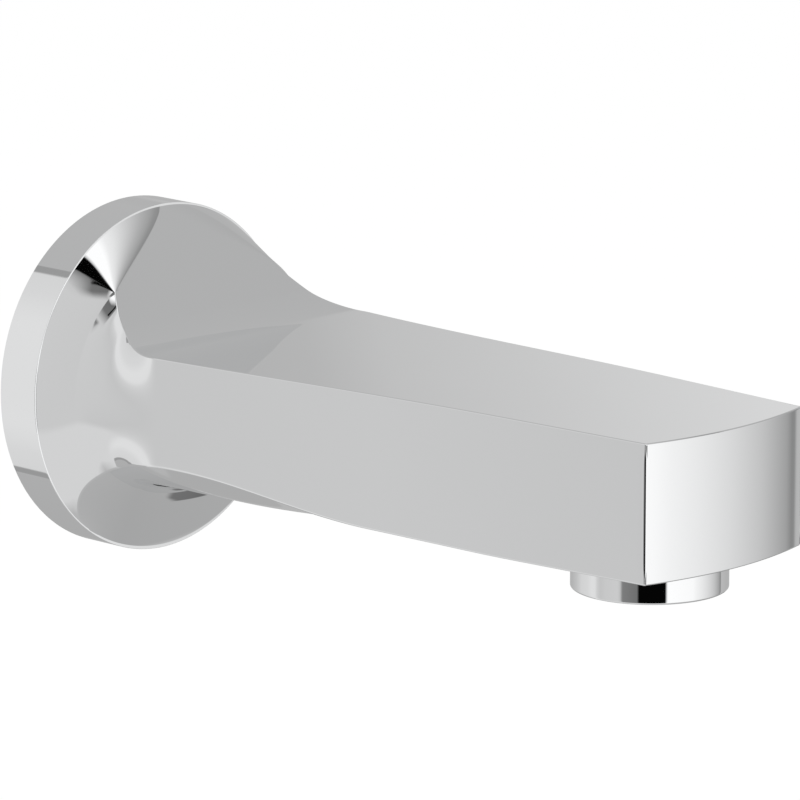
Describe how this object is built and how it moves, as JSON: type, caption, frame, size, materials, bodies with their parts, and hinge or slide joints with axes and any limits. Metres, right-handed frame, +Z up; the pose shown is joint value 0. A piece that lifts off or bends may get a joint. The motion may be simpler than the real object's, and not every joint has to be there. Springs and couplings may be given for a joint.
{
  "type": "wall spout",
  "caption": "Chromed wall spout: round flange blending into a flat tapering bar with a round aerator collar under the tip and a threaded wall nipple.",
  "frame": {"origin": "centre of the flange's back face, on the wall", "axes": "+X runs out from the wall along the spout, +Y across it, +Z up"},
  "size_m": [0.1772, 0.07, 0.07],
  "materials": {
    "body_chrome": "bright chrome plate on cast brass",
    "collar_chrome": "bright chrome plate on turned brass",
    "insert_plastic": "moulded pale grey plastic",
    "seal_rubber": "moulded black rubber",
    "nipple_brass": "turned bare brass"
  },
  "bodies": {
    "root": {"spout_body": "body_chrome", "aerator_housing": "collar_chrome", "aerator_insert": "insert_plastic", "aerator_washer": "seal_rubber", "connection_nipple": "nipple_brass", "nipple_gasket": "seal_rubber"}
  },
  "joints": []
}
